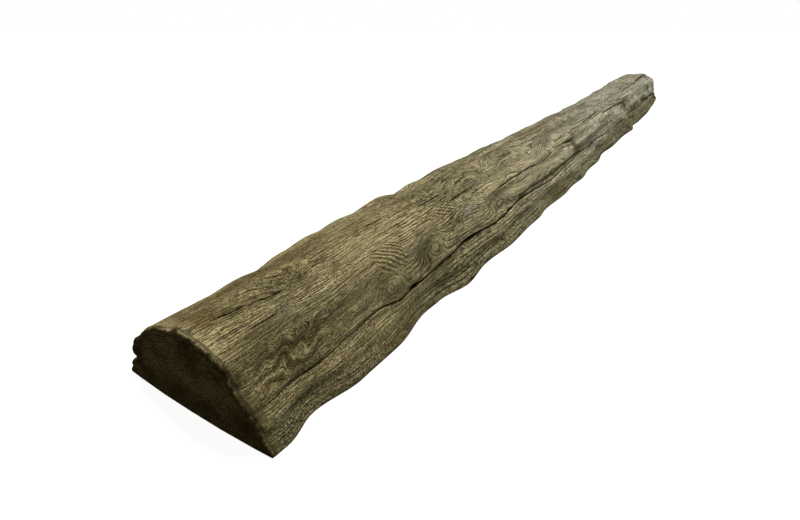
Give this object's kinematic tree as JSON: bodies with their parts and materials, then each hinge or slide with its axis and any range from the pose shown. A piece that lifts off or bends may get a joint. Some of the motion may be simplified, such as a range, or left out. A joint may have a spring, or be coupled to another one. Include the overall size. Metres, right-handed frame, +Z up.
{
  "type": "rustic wooden beam",
  "caption": "Half-round rustic wooden beam with a flat sawn underside, swelling sides, knots and long drying cracks.",
  "frame": {"origin": "middle of the sawn underside's footprint, on the surface that the beam lies on", "axes": "+X along the beam towards its rounder, thicker end, +Y across it, +Z up out of the round face"},
  "size_m": [3.004, 0.3092, 0.1354],
  "materials": {
    "weathered_wood": "rough weathered grain, olive brown, with darker sawn ends and underside"
  },
  "bodies": {
    "root": {"beam": "weathered_wood"}
  },
  "joints": []
}
